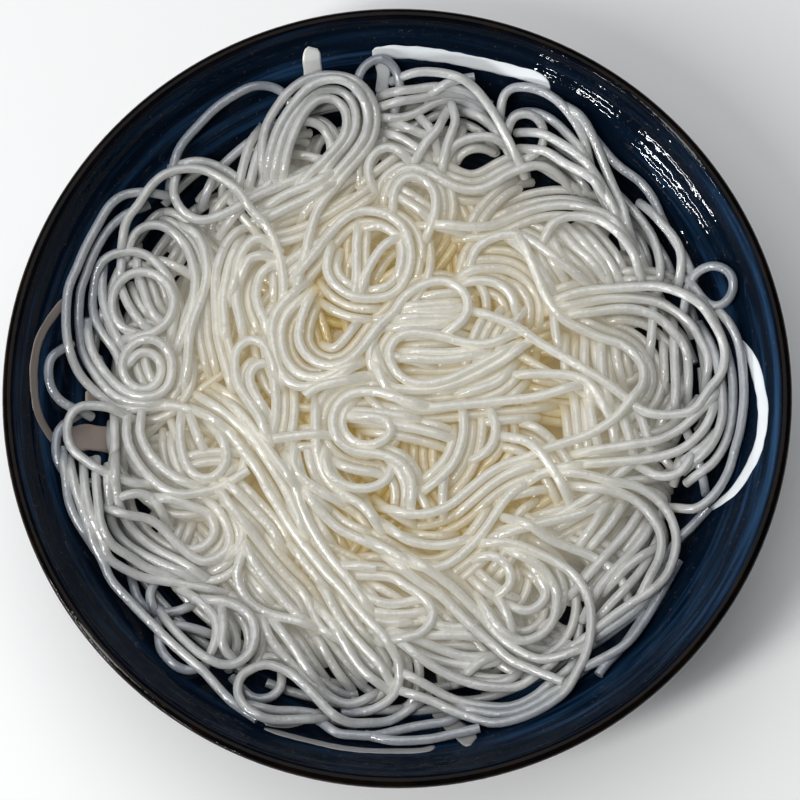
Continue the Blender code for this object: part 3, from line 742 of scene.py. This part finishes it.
# A node with its settings, whose inputs are given as values or as the sockets that feed them
def addNode(tree, kind, inputs=None, **settings):
    made = tree.nodes.new(kind)
    for name, value in settings.items():
        setattr(made, name, value)
    for socket, value in (inputs or {}).items():
        if isinstance(value, bpy.types.NodeSocket):
            tree.links.new(value, made.inputs[socket])
        else:
            made.inputs[socket].default_value = value
    return made


def calc(tree, operation, *values):
    return addNode(tree, "ShaderNodeMath", dict(enumerate(values)), operation=operation).outputs[0]


# A smooth step from toLow to toHigh as value goes from low to high
def fade(tree, value, low, high, toLow=0.0, toHigh=1.0):
    inputs = {"Value": value, "From Min": low, "From Max": high, "To Min": toLow, "To Max": toHigh}
    return addNode(tree, "ShaderNodeMapRange", inputs, interpolation_type="SMOOTHSTEP").outputs[0]


def mixed(tree, share, first, second, blend="MIX"):
    settings = {"data_type": "RGBA", "blend_type": blend}
    return addNode(tree, "ShaderNodeMix", {0: share, 6: first, 7: second}, **settings).outputs[2]


def noise(tree, vector, scale, detail=3.0, roughness=0.5):
    inputs = {"Vector": vector, "Scale": scale, "Detail": detail, "Roughness": roughness}
    return addNode(tree, "ShaderNodeTexNoise", inputs).outputs["Fac"]


# A node group with no inputs, its output node, and the object's x, y, z and distance from the axis
def newGroup(name, outputs):
    group = bpy.data.node_groups.new(name, "ShaderNodeTree")
    for label, kind in outputs:
        group.interface.new_socket(label, in_out="OUTPUT", socket_type=kind)
    out = group.nodes.new("NodeGroupOutput")
    place = addNode(group, "ShaderNodeTexCoord").outputs["Object"]
    split = addNode(group, "ShaderNodeSeparateXYZ", {0: place}).outputs
    flat = addNode(group, "ShaderNodeCombineXYZ", {0: split[0], 1: split[1]}).outputs[0]
    radius = addNode(group, "ShaderNodeVectorMath", {0: flat}, operation="LENGTH").outputs["Value"]
    return group, out, place, split, radius


def useGroup(tree, group):
    made = tree.nodes.new("ShaderNodeGroup")
    made.node_tree = group
    return made.outputs


def putBump(tree, shader, height, strength, distance):
    inputs = {"Height": height, "Strength": strength, "Distance": distance}
    tree.links.new(addNode(tree, "ShaderNodeBump", inputs).outputs[0], shader.inputs["Normal"])


noodleLook = {
    "middle": (0.42, 0.412, 0.382, 1),     # wet noodles on the heap
    "outer": (0.445, 0.447, 0.443, 1),     # those near its outline, which get less light from it: painted light, a lighter, greyer colour that makes up in part for the painted glow fading out there
    "edge": (0.270, 0.288, 0.315, 1),      # painted shade: those close above the plate, darker and bluer where the dark plate shows through them
    "deep": (0.40, 0.31, 0.135, 1),        # painted shade: low in the heap, seen between others, darker and more golden
    "glow": (0.205, 0.196, 0.165, 1),      # painted glow: emission that stands in for light that the heap passes on to its noodles
    # painted glow, warmer, low in the heap
    "deepGlow": (0.135, 0.098, 0.031, 1),
    "outerFrom": 0.050,                    # m from the axis
    "outerTo": 0.075,
    "edgeFrom": 0.0025,                    # m above the plate
    "edgeTo": 0.0085,
    "domeTop": 0.0415,                     # m above the table
    "domeFall": 0.5,                       # how fast the dome falls off, 1/m
    "deepFrom": 0.0045,                    # m below the dome
    "deepTo": 0.0120,
    "deepReach": (0.030, 0.075),           # m from the axis, between which the deep colour dies out
    "glowReach": (0.045, 0.088),
    "cloudScale": 220,                     # of the noise, per m
    "dentScale": 420,
    "fineScale": 1150,
    "cloudShade": (0.92, 1.04),            # how much the clouds darken and lighten
    "roughness": (0.05, 0.13),
}


def noodleGroup():
    kinds = (
        ("Colour", "NodeSocketColor"), ("Glow", "NodeSocketColor"),
        ("Roughness", "NodeSocketFloat"), ("Height", "NodeSocketFloat"),
    )
    group, out, place, split, radius = newGroup("noodleSurface", kinds)
    outward = fade(group, radius, noodleLook["outerFrom"], noodleLook["outerTo"])
    # The plate's inner surface, by the sum that insideHeight does
    reach = (lipInner - plate["floorRadius"]) * mm
    rise = (lipMiddle - plate["floor"]) * mm
    share = calc(group, "SUBTRACT", radius, plate["floorRadius"] * mm)
    share = calc(group, "MAXIMUM", calc(group, "DIVIDE", share, reach), 0.0)
    wall = calc(group, "MULTIPLY", calc(group, "POWER", share, plate["wallCurve"]), rise)
    above = calc(group, "SUBTRACT", calc(group, "SUBTRACT", split[2], plate["floor"] * mm), wall)
    # Painted shade: noodles close above the plate's wall, towards the outline, are mixed to the darker,
    # bluer edge colour.
    edge = fade(group, above, noodleLook["edgeFrom"], noodleLook["edgeTo"], 1.0, 0.0)
    edge = calc(group, "MULTIPLY", edge, outward)
    fall = calc(group, "MULTIPLY", calc(group, "MULTIPLY", radius, radius), noodleLook["domeFall"])
    depth = calc(group, "SUBTRACT", calc(group, "SUBTRACT", noodleLook["domeTop"], fall), split[2])
    # Painted shade: the deeper below the heap's dome, the darker and more golden the colour, dying out
    # towards the outline.
    deep = fade(group, depth, noodleLook["deepFrom"], noodleLook["deepTo"])
    deep = calc(group, "MULTIPLY", deep, fade(group, radius, *noodleLook["deepReach"], 1.0, 0.0))
    # Painted light: towards the outline the colour turns lighter and greyer.
    colour = mixed(group, outward, noodleLook["middle"], noodleLook["outer"])
    colour = mixed(group, deep, colour, noodleLook["deep"])
    colour = mixed(group, edge, colour, noodleLook["edge"])
    clouds = noise(group, place, noodleLook["cloudScale"], 2.0)
    cloud = fade(group, clouds, 0.3, 0.7, *noodleLook["cloudShade"])
    grey = addNode(group, "ShaderNodeCombineXYZ", {0: cloud, 1: cloud, 2: cloud}).outputs[0]
    colour = mixed(group, 1.0, colour, grey, "MULTIPLY")
    fine = noise(group, place, noodleLook["fineScale"], 1.0)
    dents = noise(group, place, noodleLook["dentScale"], 1.0)
    wet = fade(group, clouds, 0.35, 0.65, *noodleLook["roughness"])
    height = calc(group, "ADD", fine, calc(group, "MULTIPLY", dents, 0.8))
    # Painted glow, warmer low in the heap and fading out towards the outline; it goes in as emission.
    glow = mixed(group, deep, noodleLook["glow"], noodleLook["deepGlow"])
    glow = mixed(group, fade(group, radius, *noodleLook["glowReach"]), glow, (0, 0, 0, 1))
    for label, value in (("Colour", colour), ("Glow", glow), ("Roughness", wet), ("Height", height)):
        group.links.new(value, out.inputs[label])
    return group


def noodleMaterial(name, group, tint, soft):
    material, tree, shader = newMaterial(name)
    look = useGroup(tree, group)
    tree.links.new(mixed(tree, 1.0, look["Colour"], tint, "MULTIPLY"), shader.inputs["Base Color"])
    tree.links.new(look["Roughness"], shader.inputs["Roughness"])
    tree.links.new(look["Glow"], shader.inputs["Emission Color"])
    shader.inputs["Emission Strength"].default_value = 1.0
    material.cycles.emission_sampling = "NONE"    # far too faint to light anything else
    shader.subsurface_method = "BURLEY"
    shader.inputs["Subsurface Weight"].default_value = soft
    shader.inputs["Subsurface Radius"].default_value = (1.0, 0.97, 0.8)
    shader.inputs["Subsurface Scale"].default_value = 0.0025
    shader.inputs["Specular IOR Level"].default_value = 0.75
    shader.inputs["Coat Weight"].default_value = 0.5
    shader.inputs["Coat Roughness"].default_value = 0.05
    putBump(tree, shader, look["Height"], 0.9, 0.00022)
    return material


noodleTints = {
    # tint, and how much light goes on under the surface
    "noodlesDeep": ((0.99, 0.97, 0.93, 1), 0.0),
    "noodlesInside": ((0.99, 0.97, 0.93, 1), 0.0),
    "noodlesUnder": ((0.98, 0.96, 0.92, 1), 0.0),
    "noodlesBetween": ((0.99, 0.98, 0.95, 1), 0.0),
    # painted shade: the noodles alone on the plate are tinted darker and bluer, for the dark plate showing
    # through them
    "noodlesOnPlate": ((0.80, 0.82, 0.86, 1), 0.65),
    "noodlesAtEdge": ((1, 1, 1, 1), 0.65),
    "noodlesMiddle": ((1, 1, 1, 1), 0.65),
    # painted light: the top noodles are tinted a little lighter
    "noodlesOnTop": ((1.03, 1.03, 1.02, 1), 0.65),
    # painted shade: the core, seen only through gaps, is tinted darker and more golden
    "heapCore": ((0.80, 0.68, 0.48, 1), 0.0),
}
noodleSurface = noodleGroup()
for piece in noodlePieces + [heapCore]:
    setMaterial(piece, noodleMaterial(piece.name + "Wet", noodleSurface, *noodleTints[piece.name]))

glazeLook = {
    "navy": (0.0018, 0.0062, 0.0150, 1),
    "streak": (0.016, 0.050, 0.115, 1),    # where the brushed glaze is thin
    "pool": (0.0015, 0.0035, 0.008, 1),    # where it ran thick
    "lip": (0.0016, 0.0011, 0.0010, 1),    # where the glaze ran off and the dark clay shows through
    "lipWorn": (0.0050, 0.0027, 0.0018, 1),
    "lipFrom": (0.1012, 0.1028),           # m from the axis
    "lipAbove": (0.0405, 0.0435),          # m above the table
    "clay": (0.30, 0.19, 0.115, 1),
    "clayDark": (0.20, 0.12, 0.07, 1),
    "clayBelow": (0.0026, 0.0032),         # m above the table
    "strokesAcross": 330.0,                # brush marks per m outward
    "strokesRound": 1.1,                   # and round the plate, for each radian
    "hairs": 3.6,                          # finer marks in each of them
    "roughness": (0.025, 0.05),
}


def glazeGroup():
    kinds = (("Colour", "NodeSocketColor"), ("Roughness", "NodeSocketFloat"), ("Height", "NodeSocketFloat"))
    group, out, place, split, radius = newGroup("brushedGlaze", kinds)
    # Brush marks run round the plate: fine steps across them, long ones along them.
    outward = addNode(group, "ShaderNodeVectorMath", {0: place}, operation="NORMALIZE").outputs[0]
    turn = addNode(group, "ShaderNodeSeparateXYZ", {0: outward}).outputs
    sweep = addNode(group, "ShaderNodeCombineXYZ", {
        0: calc(group, "MULTIPLY", turn[0], glazeLook["strokesRound"]),
        1: calc(group, "MULTIPLY", turn[1], glazeLook["strokesRound"]),
        2: calc(group, "MULTIPLY", radius, glazeLook["strokesAcross"]),
    }).outputs[0]
    broad = noise(group, sweep, 1.0, 2.0)
    hair = noise(group, sweep, glazeLook["hairs"], 4.0, 0.6)
    both = calc(group, "ADD", calc(group, "MULTIPLY", broad, 0.65), calc(group, "MULTIPLY", hair, 0.35))
    marks = fade(group, both, 0.46, 0.68)
    pooled = fade(group, noise(group, sweep, 0.55, 1.0), 0.36, 0.52, 1.0, 0.0)
    colour = mixed(group, marks, glazeLook["navy"], glazeLook["streak"])
    colour = mixed(group, calc(group, "MULTIPLY", pooled, 0.8), colour, glazeLook["pool"])
    uneven = calc(group, "MULTIPLY", calc(group, "SUBTRACT", noise(group, place, 45), 0.5), 0.0016)
    speck = fade(group, noise(group, place, 900, 1.0), 0.70, 0.76)
    colour = mixed(group, calc(group, "MULTIPLY", speck, 0.10), colour, glazeLook["clay"])
    bare = fade(group, calc(group, "ADD", split[2], uneven), *glazeLook["clayBelow"], 1.0, 0.0)
    grain = mixed(group, noise(group, place, 700, 4.0), glazeLook["clay"], glazeLook["clayDark"])
    colour = mixed(group, bare, colour, grain)
    lip = calc(group, "ADD", radius, calc(group, "MULTIPLY", uneven, 0.5))
    lip = fade(group, lip, *glazeLook["lipFrom"])
    lip = calc(group, "MULTIPLY", lip, fade(group, split[2], *glazeLook["lipAbove"]))
    wear = fade(group, noise(group, place, 120, 4.0), 0.35, 0.7)
    colour = mixed(group, lip, colour, mixed(group, wear, glazeLook["lip"], glazeLook["lipWorn"]))
    rough = fade(group, hair, 0.3, 0.7, *glazeLook["roughness"])
    rough = calc(group, "MAXIMUM", rough, calc(group, "MULTIPLY", lip, 0.05))
    rough = calc(group, "MAXIMUM", rough, calc(group, "MULTIPLY", bare, 0.85))
    height = calc(group, "ADD", broad, calc(group, "MULTIPLY", noise(group, place, 480, 1.0), 0.45))
    height = calc(group, "ADD", height, calc(group, "MULTIPLY", bare, noise(group, place, 1100, 3.0)))
    for label, value in (("Colour", colour), ("Roughness", rough), ("Height", height)):
        group.links.new(value, out.inputs[label])
    return group


def glazeMaterial():
    material, tree, shader = newMaterial("navyGlaze")
    look = useGroup(tree, glazeGroup())
    tree.links.new(look["Colour"], shader.inputs["Base Color"])
    tree.links.new(look["Roughness"], shader.inputs["Roughness"])
    shader.inputs["Specular IOR Level"].default_value = 0.085
    putBump(tree, shader, look["Height"], 0.34, 0.0004)
    return material


setMaterial(thrownPlate, glazeMaterial())

# Strokes of pale slip brushed on the wall, read off the photograph: centre line in its pixels, width in mm,
# and how many mm the brush took to come down and to lift off
strokes = {
    "topDab": ("313,46 312,60 313,75 314,97", 5.0, 2.0, 1.0),
    "topArc": ("371,54 400,52 447,57 476,63 504,69 533,77 546,86 545,97", 2.7, 2.5, 2.5),
    "topBranch": ("378,56 384,70 382,84 382,96", 3.6, 2.0, 1.0),
    "rightCrescent": (
        "737,337 752,360 760,388 763,415 759,444 751,464 740,483 727,497 705,513", 2.3, 9.0, 12.0,
    ),
    "leftArc": ("66,298 56,312 47,324 40,338 36,352 34,375 36,402 41,420 49,434 56,445", 1.9, 3.0, 3.0),
    "bottomArc": ("263,728 295,737 324,744 352,749 395,751 429,749 436,746", 1.4, 8.0, 2.0),
    "bottomWedge": ("262,719 285,722 310,716 330,712", 3.2, 3.0, 3.0),
    "bottomDab": ("436,708 455,727 475,742", 4.8, 1.0, 2.0),
    "leftDab": ("84,396 97,398 108,402", 4.2, 2.0, 1.0),
    "leftPatch": ("66,440 84,437 100,438 116,440", 7.2, 4.0, 2.0),
}
slip = {
    "thick": 0.16,            # mm that it stands up from the wall
    "buried": 0.35,           # and how thick it is in all
    "across": 9,              # points across a stroke
    "step": 0.8,
    "ragged": 0.10,
    "blunt": 0.3,             # mm that a stroke starts and ends with
    "seed": 5,
}


# Place in mm on the plate's inner surface of what the photograph shows at a pixel
def onWall(px, py):
    height = 40.0
    for _ in range(12):
        x, y = seenAt(px, py, height)
        height = float(insideHeight(math.hypot(x, y)))
    return x, y


def makeStrokes():
    points, faces = [], []
    draw = np.random.default_rng(slip["seed"])
    for text, width, landing, lifting in strokes.values():
        pixels = [tuple(float(n) for n in word.split(",")) for word in text.split()]
        line = evenly(throughPoints(np.array([onWall(*pixel) for pixel in pixels])), slip["step"])
        line = evenly(smoothed(line, 2), slip["step"])
        side = sideways(line)
        along = np.arange(len(line)) * slip["step"] + slip["blunt"]
        landed = np.minimum(1, along / landing)
        held = np.minimum(1, along[::-1] / lifting)
        half = width / 2 * np.sqrt(1 - (1 - landed) ** 2) * np.sqrt(1 - (1 - held) ** 2)
        start = len(points)
        for share in np.linspace(-1, 1, slip["across"]):
            ragged = 1 + slip["ragged"] * smoothed(draw.normal(size=len(line)), 2) * abs(share)
            row = line + side * (half * share * ragged)[:, None]
            radius = np.hypot(row[:, 0], row[:, 1])
            slope = np.arctan(insideSlope(radius))
            lift = slip["thick"] * (0.25 + 0.75 * (1 - share ** 2)) * np.minimum(1, half / width * 4)
            inward = 1 - lift * np.sin(slope) / radius
            heights = insideHeight(radius) + lift * np.cos(slope)
            points += list(np.column_stack([row * inward[:, None], heights]))
        for i in range(slip["across"] - 1):
            for j in range(len(line) - 1):
                a = start + i * len(line) + j
                faces.append((a, a + 1, a + len(line) + 1, a + len(line)))
    obj = meshObject("slipStrokes", points, faces=faces)
    selectOnly(obj)
    thick = obj.modifiers.new("Thick", "SOLIDIFY")
    thick.thickness = slip["buried"] * mm
    thick.offset = -1
    bpy.ops.object.modifier_apply(modifier="Thick")
    bpy.ops.object.shade_smooth()
    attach(obj, "root")
    return obj


slipLook = {
    "pale": (0.74, 0.72, 0.68, 1),
    "thin": (0.60, 0.57, 0.50, 1),       # where the brush ran dry
    "cool": (0.72, 0.765, 0.81, 1),      # towards the right and the top: painted light, cooler and a little brighter on the lit side
    "tan": (0.60, 0.49, 0.44, 1),        # at the left: a warmer tone, and darker there as painted shade
    "tanDark": (0.24, 0.20, 0.18, 1),    # painted shade: at the left, darker still close to the lip
    "low": (0.22, 0.22, 0.225, 1),       # painted shade: darker at the bottom
    "coolFrom": (-0.02, 0.04),           # m to the right of the axis
    "tanFrom": (-0.090, -0.025),
    "tanDarkFrom": (0.087, 0.092),       # m from the axis
    "lowFrom": (-0.092, -0.075),         # m upward in the photograph
}


def slipGroup():
    kinds = (("Colour", "NodeSocketColor"), ("Height", "NodeSocketFloat"))
    group, out, place, split, radius = newGroup("brushedSlip", kinds)
    thin = fade(group, noise(group, place, 220, 4.0), 0.35, 0.7)
    colour = mixed(group, thin, slipLook["pale"], slipLook["thin"])
    rightward = calc(group, "ADD", split[0], calc(group, "MULTIPLY", split[1], 0.35))
    # Painted light: strokes towards the right and the top, on the lit side, are tinted cooler and a little
    # brighter.
    cool = fade(group, rightward, *slipLook["coolFrom"], 0.0, 0.8)
    colour = mixed(group, cool, colour, slipLook["cool"])
    # At the left, a warmer tone and painted shade, darkest close to the lip.
    leftToneAndShade = fade(group, rightward, *slipLook["tanFrom"], 1.0, 0.0)
    dark = fade(group, radius, *slipLook["tanDarkFrom"])
    tan = mixed(group, dark, slipLook["tan"], slipLook["tanDark"])
    colour = mixed(group, leftToneAndShade, colour, tan)
    # Painted shade: the strokes at the bottom are darkened.
    low = fade(group, split[1], *slipLook["lowFrom"], 0.9, 0.0)
    colour = mixed(group, low, colour, slipLook["low"])
    group.links.new(colour, out.inputs["Colour"])
    group.links.new(noise(group, place, 500, 3.0), out.inputs["Height"])
    return group


def slipMaterial():
    material, tree, shader = newMaterial("paleSlip")
    look = useGroup(tree, slipGroup())
    tree.links.new(look["Colour"], shader.inputs["Base Color"])
    shader.inputs["Roughness"].default_value = 0.28
    shader.inputs["Coat Weight"].default_value = 0.4
    shader.inputs["Coat Roughness"].default_value = 0.1
    putBump(tree, shader, look["Height"], 0.15, 0.0002)
    return material


slipStrokes = makeStrokes()
setMaterial(slipStrokes, slipMaterial())
print("materials set")

# Table and light
tableLook = {
    "size": 6.0,              # m
    "colour": (0.93, 0.93, 0.93, 1),
    "roughness": 0.6,
}
bpy.ops.mesh.primitive_plane_add(size=tableLook["size"])
table = bpy.context.object
table.name = "table"
tableMaterial, _, tableShader = newMaterial("paleTable")
tableShader.inputs["Base Color"].default_value = tableLook["colour"]
tableShader.inputs["Roughness"].default_value = tableLook["roughness"]
setMaterial(table, tableMaterial)

aim = Vector((0, 0, 0.04))
lights = (
    # name, place in m, size across and up in m, watts, colour
    ("tallWindow", (-0.75, -0.45, 1.00), (0.16, 0.85), 10.0, (1.0, 0.99, 0.97)),
    ("windowWide", (-1.15, -0.665, 0.16), (0.46, 0.008), 9.0, (0.95, 0.975, 1.0)),
    ("windowNarrow", (-0.837, -1.034, 0.13), (0.18, 0.008), 3.0, (0.95, 0.975, 1.0)),
    ("windowSlit", (-0.645, -1.163, 0.13), (0.06, 0.008), 1.0, (0.95, 0.975, 1.0)),
    ("ceiling", (-0.25, 0.6, 1.5), (1.6, 1.6), 16.0, (0.97, 0.985, 1.0)),
)
for name, place, size, watts, colour in lights:
    bpy.ops.object.light_add(type="AREA", location=place)
    lamp = bpy.context.object
    lamp.name = name
    lamp.rotation_euler = (aim - Vector(place)).to_track_quat("-Z", "Y").to_euler()
    lamp.data.shape = "RECTANGLE"
    lamp.data.size, lamp.data.size_y = size
    lamp.data.energy = watts
    lamp.data.color = colour

bpy.context.scene.view_settings.view_transform = "Standard"
world = bpy.context.scene.world or bpy.data.worlds.new("World")
bpy.context.scene.world = world
world.use_nodes = True
sky = world.node_tree.nodes["Background"].inputs
sky["Color"].default_value = (0.9, 0.95, 1.0, 1)
sky["Strength"].default_value = 0.07

print("scene ready")
